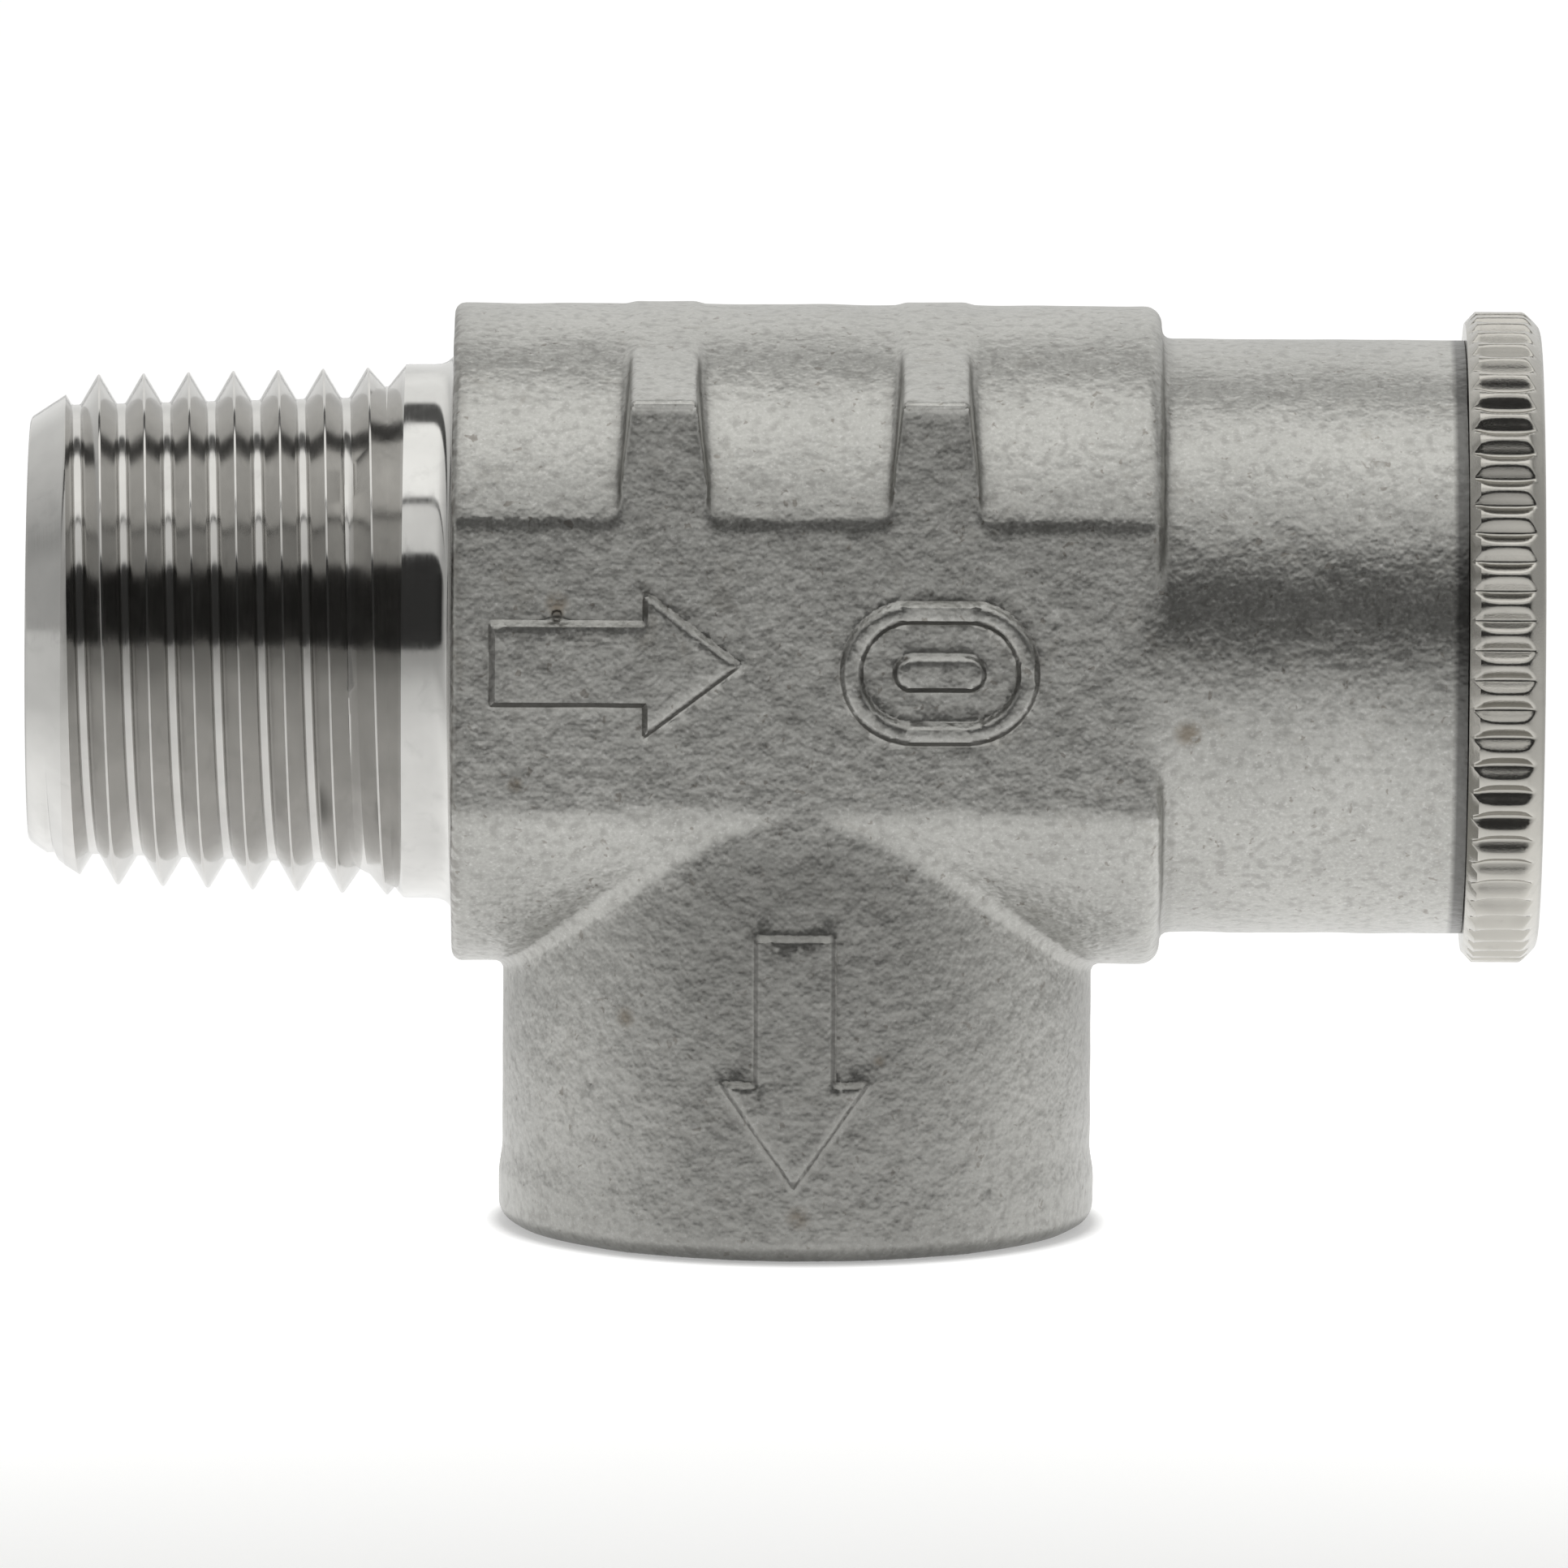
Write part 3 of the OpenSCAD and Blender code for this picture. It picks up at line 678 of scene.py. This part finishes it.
def spring_half(name, turn0, turn1):
    """Wire from turn0 to turn1, with its outer ends ground flat."""
    pitch_closed = 2 * WIRE_R + COIL_GAP
    x0, x1 = SPRING_X[0] + WIRE_R * GROUND, SPRING_X[1] - WIRE_R * GROUND
    open_turns = TURNS - 2 * CLOSED
    open_pitch = (x1 - x0 - 2 * CLOSED * pitch_closed) / open_turns
    steps, sides = int((turn1 - turn0) * TURN_STEPS), WIRE_SIDES
    turns = np.linspace(turn0, turn1, steps + 1)
    rise = turns * pitch_closed + (open_pitch - pitch_closed) * np.clip(turns - CLOSED, 0, open_turns)
    around = 2 * math.pi * np.arange(sides) / sides
    radius = COIL_R + WIRE_R * np.cos(around)[None, :]
    x = x0 + rise[:, None] + WIRE_R * np.sin(around)[None, :]
    x = np.clip(x, SPRING_X[0] + END_GAP, SPRING_X[1] - END_GAP)
    turn = 2 * math.pi * turns[:, None]
    points = np.stack([radius * np.cos(turn), radius * np.sin(turn), x], -1).reshape(-1, 3)
    faces = [
        (a * sides + b, (a + 1) * sides + b, (a + 1) * sides + (b + 1) % sides, a * sides + (b + 1) % sides)
        for a in range(steps) for b in range(sides)
    ]
    faces += [list(range(sides)), [steps * sides + b for b in reversed(range(sides))]]
    return shade(closed(new_object(name, along_bore(points), faces)), 50)


# ---------------------------------------------------------------- materials

class Nodes:
    """Short calls to add nodes to a tree and join them up. place is a Texture Coordinate output."""

    def __init__(self, tree, place):
        self.tree = tree
        self.place = self.add("ShaderNodeTexCoord").outputs[place]

    def add(self, kind, **settings):
        node = self.tree.nodes.new(kind)
        for key, value in settings.items():
            setattr(node, key, value)
        return node

    def plug(self, value, socket):
        """Links an output, or sets a number, a vector or a color."""
        if isinstance(value, (int, float)):
            socket.default_value = value
        elif isinstance(value, tuple):
            socket.default_value = value if len(value) == len(socket.default_value) else (*value, 1)
        else:
            self.tree.links.new(value, socket)

    def noise(self, size_mm, detail=3.0, rough=0.55, vector=None, distortion=0.0):
        """Noise whose patches are about size_mm across."""
        node = self.add("ShaderNodeTexNoise")
        self.plug(vector if vector is not None else self.place, node.inputs["Vector"])
        node.inputs["Scale"].default_value = 1 / (size_mm * MM)
        node.inputs["Detail"].default_value = detail
        node.inputs["Roughness"].default_value = rough
        node.inputs["Distortion"].default_value = distortion
        return node.outputs["Fac"]

    def with_place(self, operation, other):
        """Vector math between the place and a fixed vector."""
        node = self.add("ShaderNodeVectorMath", operation=operation)
        self.plug(self.place, node.inputs[0])
        node.inputs[1].default_value = other
        return node

    def stretch(self, scale):
        """Place multiplied along each axis."""
        return self.with_place("MULTIPLY", scale).outputs["Vector"]

    def distance(self, x, y, z):
        """Distance to a point given in millimetres."""
        return self.with_place("DISTANCE", (x * MM, y * MM, z * MM)).outputs["Value"]

    def spread(self, value, low, high, to_low=0.0, to_high=1.0, curve="LINEAR"):
        """value from low to high becomes to_low to to_high, and stays at those beyond."""
        node = self.add("ShaderNodeMapRange", interpolation_type=curve)
        self.plug(value, node.inputs["Value"])
        for key, number in (("From Min", low), ("From Max", high), ("To Min", to_low), ("To Max", to_high)):
            self.plug(number, node.inputs[key])
        return node.outputs["Result"]

    def within(self, value, low_mm, high_mm):
        """spread between two places in millimetres."""
        return self.spread(value, low_mm * MM, high_mm * MM)

    def axes(self, vector=None):
        """x, y and z of the place, in metres, or of another vector."""
        node = self.add("ShaderNodeSeparateXYZ")
        self.plug(vector if vector is not None else self.place, node.inputs[0])
        return tuple(node.outputs)

    def math(self, operation, a, b=0.0):
        node = self.add("ShaderNodeMath", operation=operation)
        self.plug(a, node.inputs[0])
        self.plug(b, node.inputs[1])
        return node.outputs["Value"]

    def product(self, first, *more):
        for value in more:
            first = self.math("MULTIPLY", first, value)
        return first

    def absolute(self, value):
        return self.math("ABSOLUTE", value)

    def hypotenuse(self, a, b):
        return self.math("SQRT", self.math("ADD", self.math("POWER", a, 2.0), self.math("POWER", b, 2.0)))

    def mix(self, share, a, b):
        node = self.add("ShaderNodeMix", data_type="RGBA")
        self.plug(share, node.inputs["Factor"])
        self.plug(a, node.inputs["A"])
        self.plug(b, node.inputs["B"])
        return node.outputs["Result"]


class Surface(Nodes):
    """A Principled material."""

    def __init__(self, name):
        self.material = bpy.data.materials.new(name)
        self.material.use_nodes = True
        super().__init__(self.material.node_tree, "Object")
        self.shader = self.tree.nodes["Principled BSDF"]

    def bump(self, height, depth_mm, under=None):
        """Normal for a height map of this depth, over an earlier bump."""
        node = self.add("ShaderNodeBump")
        node.inputs["Strength"].default_value = 1.0
        node.inputs["Distance"].default_value = depth_mm * MM
        self.plug(height, node.inputs["Height"])
        if under is not None:
            self.plug(under, node.inputs["Normal"])
        return node.outputs["Normal"]

    def finish(self, color, metallic, roughness, **more):
        self.plug(color, self.shader.inputs["Base Color"])
        self.plug(metallic, self.shader.inputs["Metallic"])
        self.plug(roughness, self.shader.inputs["Roughness"])
        for key, value in more.items():
            self.plug(value, self.shader.inputs[key.replace("_", " ")])
        return self.material


CAST_DARK, CAST_LIGHT = (0.372, 0.37, 0.352), (0.425, 0.422, 0.402)
# painted shade for the hollows of the lumps bump
HOLLOW_SHADE = (0.25, 0.246, 0.232)
GRAIN_DARK, GRAIN_LIGHT = (0.26, 0.256, 0.244), (0.56, 0.555, 0.54)
SPECKS = (0.13, 0.11, 0.09)
FAINT_STAIN = (0.25, 0.235, 0.205)
BROWN = (0.13, 0.095, 0.055)
# painted shade for the gap between the bonnet and the cap's flange
SEAM_SHADE = (0.085, 0.084, 0.082)
# darker, mottled colour at the block's inlet end
END_DARKENING = (0.1, 0.09, 0.08)
# painted shade on the boss's front, strongest in its middle
BOSS_SHADE, BOSS_MIDDLE_SHADE = (0.17, 0.168, 0.158), (0.12, 0.118, 0.11)
# painted shade on the raised marks' sides and undersides
MARK_SHADE = (0.045, 0.043, 0.04)
# painted shade in corners
CORNER_SHADE = (0.1, 0.096, 0.088)
STAINS = [                 # (x, y, z, radius) of small brown marks
    (-9.7, -11.9, 26.75, 0.6), (-9.7, -11.9, 26.3, 0.35), (0.1, -11.9, 1.9, 0.6), (-11.35, -11.9, 19.4, 0.4),
    (-6.9, -9.7, 9.7, 0.55), (15.6, -11.8, 21.6, 0.7), (3.3, -11.4, 8.2, 0.35),
]


def mottled_tone(n, grain, lumps):
    """The casting's grey, broken up by clouds, painted shade in the bump's hollows, grains and specks."""
    cloud = n.noise(6.0, 3.0, 0.5)
    tone = n.mix(n.spread(cloud, 0.35, 0.65), CAST_DARK, CAST_LIGHT)
    # painted shade: darker where the lumps bump is low
    tone = n.mix(n.spread(lumps, 0.5, 0.28, 0.0, 0.55), tone, HOLLOW_SHADE)
    tone = n.mix(n.spread(grain, 0.5, 0.3, 0.0, 0.4), tone, GRAIN_DARK)
    tone = n.mix(n.spread(grain, 0.55, 0.72, 0.0, 0.6), tone, GRAIN_LIGHT)
    specks = n.noise(0.5, 2.0, 0.6, distortion=0.4)
    return n.mix(n.spread(specks, 0.66, 0.72, 0.0, 0.5), tone, SPECKS)


def stained(n, tone):
    """Faint wide stains, and small brown ones at STAINS."""
    wide = n.noise(2.2, 4.0, 0.7, distortion=0.8)
    tone = n.mix(n.spread(wide, 0.6, 0.74, 0.0, 0.35), tone, FAINT_STAIN)
    patchy = n.spread(n.noise(0.4, 3.0, 0.6), 0.3, 0.5, 0.1, 0.65)
    for x, y, z, radius in STAINS:
        near = n.within(n.distance(x, y, z), radius, 0.3 * radius)
        tone = n.mix(n.math("MULTIPLY", near, patchy), tone, BROWN)
    return tone


def mark_shade_share(n):
    """Share of painted shade on the raised marks' sides and undersides. Their upper sides stay bright."""
    normal_x, _, normal_z = n.axes(n.add("ShaderNodeTexCoord").outputs["Normal"])
    underside = n.spread(normal_z, -0.25, -0.55, 0.0, 0.85)
    beside = n.spread(n.absolute(normal_x), 0.45, 0.65, 0.0, 0.55)
    beside = n.math("MULTIPLY", beside, n.spread(normal_z, 0.4, 0.15))
    x, y, z = n.axes()
    on_flat = n.math("MULTIPLY", n.within(y, -FLAT - 0.03, -FLAT - 0.07), n.within(z, 17.8, 17.9))
    on_boss = n.product(
        n.within(n.hypotenuse(x, y), BOSS_R + 0.04, BOSS_R + 0.09),
        n.within(n.absolute(x), 4, 3.9),
        n.within(y, 0, -1),
        n.within(z, 1.6, 2.0),
        n.within(z, 14.5, 14.3),
    )
    return n.product(n.math("MAXIMUM", underside, beside), n.math("MAXIMUM", on_flat, on_boss))


def painted_shade_and_dark_end(n, tone, lumps):
    """Painted shade at the seam by the cap, a darker mottled band at the inlet's end face, a boss darkened as
    painted shade, and painted shade on the marks and in corners.
    """
    along, across, height = n.axes()
    # painted shade: a dark band on the bonnet next to the cap's flange, where the gap is shaded
    seam = n.within(along, BONNET_X1 - 0.66, BONNET_X1 - 0.42)
    tone = n.mix(n.math("MULTIPLY", seam, 0.82), tone, SEAM_SHADE)
    # darker, mottled band at the block's inlet end
    end = n.math("MULTIPLY", n.within(along, -13.3, -13.9), n.spread(lumps, 0.42, 0.62))
    tone = n.mix(n.math("MULTIPLY", end, 0.6), tone, END_DARKENING)

    up = n.math("SUBTRACT", height, AXIS_Z * MM)
    on_boss = n.math("MULTIPLY", n.within(n.hypotenuse(across, up), 13.35, 14.3), n.within(up, 0, -4))
    # painted shade: the boss's front is darkened, and its middle more
    tone = n.mix(n.math("MULTIPLY", on_boss, 0.25), tone, BOSS_SHADE)
    tone = n.mix(n.product(on_boss, n.within(n.absolute(along), 9, 4), 0.25), tone, BOSS_MIDDLE_SHADE)
    # painted shade on the raised marks' sides and undersides
    tone = n.mix(mark_shade_share(n), tone, MARK_SHADE)

    # painted shade in corners and creases, from ambient occlusion
    corners = n.add("ShaderNodeAmbientOcclusion", samples=6, only_local=True)
    corners.inputs["Distance"].default_value = 0.6 * MM
    return n.mix(n.spread(corners.outputs["AO"], 0.96, 0.68, 0.0, 0.65), tone, CORNER_SHADE)


def cast_steel():
    """Bead-blasted stainless casting: pebbly grain, soft mottling, stains and painted shade."""
    n = Surface("cast_steel")
    grain = n.noise(0.15, 3.0, 0.6)
    pebbles = n.noise(0.17, 0.0)
    lumps = n.noise(0.4, 0.6, 0.35)
    waves = n.noise(1.3, 1.0, 0.4)
    tone = painted_shade_and_dark_end(n, stained(n, mottled_tone(n, grain, lumps)), lumps)
    normal = n.bump(waves, 0.038)
    normal = n.bump(lumps, 0.034, normal)
    normal = n.bump(pebbles, 0.012, normal)
    return n.finish(tone, 1.0, n.spread(grain, 0.3, 0.7, 0.33, 0.41), Normal=normal)


# How the noise for tool marks is scaled: marks round the bore's axis, round the outlet's, or none.
ROUND_X, ROUND_Z, NO_MARKS = (1.0, 0.03, 0.03), (0.03, 0.03, 1.0), (1.0, 1.0, 1.0)


def turned_steel(name, tint=(0.53, 0.525, 0.51), rough=0.09, marks=ROUND_X, marks_mm=0.0006):
    """Turned metal: fine tool marks, with faint smears and handling haze."""
    n = Surface(name)
    tool_marks = n.noise(0.07, 3.0, 0.7, vector=n.stretch(marks))
    cloud = n.noise(2.5, 3.0, 0.55)
    haze = n.noise(1.1, 5.0, 0.65, distortion=0.5)
    tone = n.mix(n.spread(cloud, 0.3, 0.7), tint, tuple(c * 0.88 for c in tint))
    tone = n.mix(n.spread(haze, 0.55, 0.8, 0.0, 0.3), tone, tuple(c * 0.62 for c in tint))
    smear = n.spread(haze, 0.45, 0.8, 0.0, 0.07)
    roughness = n.math("ADD", n.spread(tool_marks, 0.3, 0.7, rough * 0.8, rough * 1.25), smear)
    return n.finish(tone, 1.0, roughness, Normal=n.bump(tool_marks, marks_mm))


def plain_surface(name, low, high, rough, metallic=0.0, grain_mm=0.3, depth_mm=0.01):
    """Rubber, plastic or wire: two close tones, a fine grain and an uneven gloss."""
    n = Surface(name)
    grain = n.noise(grain_mm, 4.0, 0.6)
    cloud = n.noise(3.0, 3.0, 0.5)
    tone = n.mix(n.spread(cloud, 0.35, 0.65), low, high)
    roughness = n.spread(grain, 0.3, 0.7, rough * 0.85, rough * 1.15)
    return n.finish(tone, metallic, roughness, Normal=n.bump(grain, depth_mm))


# ---------------------------------------------------------------- build

CAST = cast_steel()
TURNED = turned_steel("turned_steel")
TURNED_UP = turned_steel("turned_steel_upright", marks=ROUND_Z)
THREAD = turned_steel("thread_steel", tint=(0.48, 0.472, 0.456), rough=0.12)
KNURLED = turned_steel("knurled_steel", tint=(0.43, 0.417, 0.385), rough=0.18, marks=NO_MARKS, marks_mm=0.006)
SPRING_STEEL = plain_surface("spring_steel", (0.34, 0.335, 0.33), (0.42, 0.415, 0.41), 0.3, 1.0, 0.15, 0.004)
BRONZE = turned_steel("bronze", tint=(0.62, 0.4, 0.2), rough=0.25)
RUBBER = plain_surface("black_rubber", (0.012, 0.012, 0.012), (0.022, 0.021, 0.021), 0.55)
WHITE = plain_surface("white_plastic", (0.8, 0.79, 0.75), (0.86, 0.85, 0.82), 0.5)
BLUE = plain_surface("blue_plastic", (0.03, 0.12, 0.34), (0.05, 0.16, 0.4), 0.5)

NODE_MATERIALS = {
    "seat_ring": TURNED, "disc_holder": TURNED, "clamp_washer": TURNED, "seal_screw": TURNED,
    "pivot_ball": TURNED, "stem": TURNED, "stem_pin": TURNED, "lower_spring_plate": TURNED,
    "upper_spring_plate": TURNED, "adjusting_screw": TURNED, "plate_circlip": SPRING_STEEL,
    "thrust_washer": BRONZE, "guide_bush": BRONZE, "seat_o_ring": RUBBER, "cap_o_ring": RUBBER,
    "disc_seal": WHITE, "locking_pellet": BLUE,
}


def use_materials(mesh, *materials):
    mesh.materials.clear()
    for material in materials:
        mesh.materials.append(material)


THREAD_MIN_R = 8.5         # the bore inside the thread is smaller
OUTLET_TOP = 13            # turned faces below this height belong to the outlet


def place_body():
    """Shows the body for its CAD node, with cast and turned faces in their own materials."""
    body = valve_body()
    cut = machined_faces(body)
    use_materials(body.data, CAST, TURNED, TURNED_UP, THREAD)
    cast, turned, turned_up, thread = range(4)
    x, y, z = polygon_vectors(body.data, "center") / MM
    on_thread = (x > THREAD_X[0]) & (x < THREAD_X[1] - 0.1) & (np.hypot(y, z - AXIS_Z) > THREAD_MIN_R)
    kind = np.select([~cut, on_thread, z < OUTLET_TOP], [cast, thread, turned_up], turned)
    body.data.polygons.foreach_set("material_index", kind.astype(np.int32))
    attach(body, "body")
    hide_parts("valve_body")


def place_cap():
    knurled_cap = cap()
    use_materials(knurled_cap.data, KNURLED)
    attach(knurled_cap, "cap")
    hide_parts("cap")


def place_spring():
    """The wire in two halves that meet in the middle, in place of the CAD spring."""
    low_half = spring_half("spring_disc_half", 0, TURNS / 2)
    high_half = spring_half("spring_screw_half", TURNS / 2, TURNS)
    for half, mover, end in ((low_half, "disc", SPRING_X[0]), (high_half, "spring_stop", SPRING_X[1])):
        use_materials(half.data, SPRING_STEEL)
        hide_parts("spring")
        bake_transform(half)


# ---------------------------------------------------------------- floor, light and camera

FLOOR_HALF = 3000.0
FLOOR_GREY = (0.6, 0.6, 0.597)
GLOW_FADE = 13.0           # per metre towards the viewer
# Degrees from the viewer's horizon over the top to the horizon behind, and brightness there.
SKY = [
    (0, 0.03), (41.2, 0.03), (42.2, 0.66), (64.1, 0.7), (64.8, 0.1), (67.6, 0.1), (68.3, 1.0),
    (108.5, 1.0), (111, 0.08), (123.5, 0.08), (126, 0.85), (145, 0.85), (160, 0.65), (180, 0.6),
]
SKY_BLUE = 0.985           # share of blue in the light, which is a little warm
END_WALLS = (0.7, 0.7, 0.69)
LENS_DISTANCE = 1.1        # metres to the part
FIELD = 63.5               # width seen there
SENSOR = 36.0
TARGET = (-0.57, 0.0, 17.83)
TILT, ROLL = math.radians(8), math.radians(0.33)


def floor():
    """White floor, lit from within so that it is as white as the photograph's, but not under the part."""
    half = FLOOR_HALF
    points = np.array([(-half, -half, 0), (half, -half, 0), (half, half, 0), (-half, half, 0)])
    plane = new_object("floor", points, [(0, 1, 2, 3)])
    n = Surface("floor_white")
    x, y, _ = n.axes()
    toward_viewer = n.math("MINIMUM", y, 0.0)
    glow = n.math("EXPONENT", n.math("MULTIPLY", toward_viewer, GLOW_FADE))
    behind = n.spread(y, 10 * MM, 40 * MM, 1.05, 0.5)
    aside = n.spread(n.absolute(x), 40 * MM, 90 * MM, 1.0, 0.35)
    # painted contact shadow: the floor's glow is dimmed round the boss's foot
    contact_shadow = n.spread(n.distance(0, 0, 0), 12 * MM, 13 * MM, 0.35, 1.0)
    glow = n.product(glow, behind, aside, contact_shadow)
    roughness = n.spread(n.noise(40.0), 0.3, 0.7, 0.75, 0.85)
    n.finish(FLOOR_GREY, 0.0, roughness, Emission_Color=(1.0, 1.0, 1.0), Emission_Strength=glow)
    plane.data.materials.append(n.material)


def studio():
    """Sky in bands by elevation round the X axis: dark room in front, soft box above, bright wall behind."""
    world = bpy.data.worlds.new("studio")
    bpy.context.scene.world = world
    world.use_nodes = True
    n = Nodes(world.node_tree, "Generated")
    x, y, z = n.axes()
    angle = n.math("ARCTAN2", z, n.math("MULTIPLY", y, -1))
    ramp = n.add("ShaderNodeValToRGB")
    n.plug(n.math("DIVIDE", angle, math.pi), ramp.inputs[0])
    stops = ramp.color_ramp.elements
    for degrees, _ in SKY[1:-1]:
        stops.new(degrees / 180)
    for stop, (degrees, level) in zip(stops, SKY):
        stop.position = degrees / 180
        stop.color = (level, level, level * SKY_BLUE, 1)
    aside = n.absolute(x)
    color = n.mix(n.spread(aside, 0.8, 0.96), ramp.outputs[0], END_WALLS)
    strength = n.spread(aside, 0.25, 0.95, 1.55, 0.8, "SMOOTHSTEP")
    background = n.tree.nodes["Background"]
    n.plug(color, background.inputs["Color"])
    n.plug(strength, background.inputs["Strength"])


def camera():
    """Long lens a little above the horizon, square to the front."""
    data = bpy.data.cameras.new("camera")
    data.sensor_width = SENSOR
    data.lens = SENSOR * LENS_DISTANCE / (FIELD * MM)
    data.clip_start, data.clip_end = 0.05, 20
    eye = bpy.data.objects.new("camera", data)
    bpy.context.scene.collection.objects.link(eye)
    back = Vector((0, -math.cos(TILT), math.sin(TILT)))
    eye.location = Vector(TARGET) * MM + back * LENS_DISTANCE
    eye.rotation_mode = "QUATERNION"
    eye.rotation_quaternion = (-back).to_track_quat("-Z", "Y")
    eye.rotation_mode = "XYZ"
    eye.rotation_euler.rotate_axis("Z", ROLL)
    bpy.context.scene.camera = eye


for node, material in NODE_MATERIALS.items():
    use_materials(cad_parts[node].data, material)
place_body()
place_cap()
place_spring()
floor()
studio()
camera()
bpy.context.scene.view_settings.view_transform = "Standard"
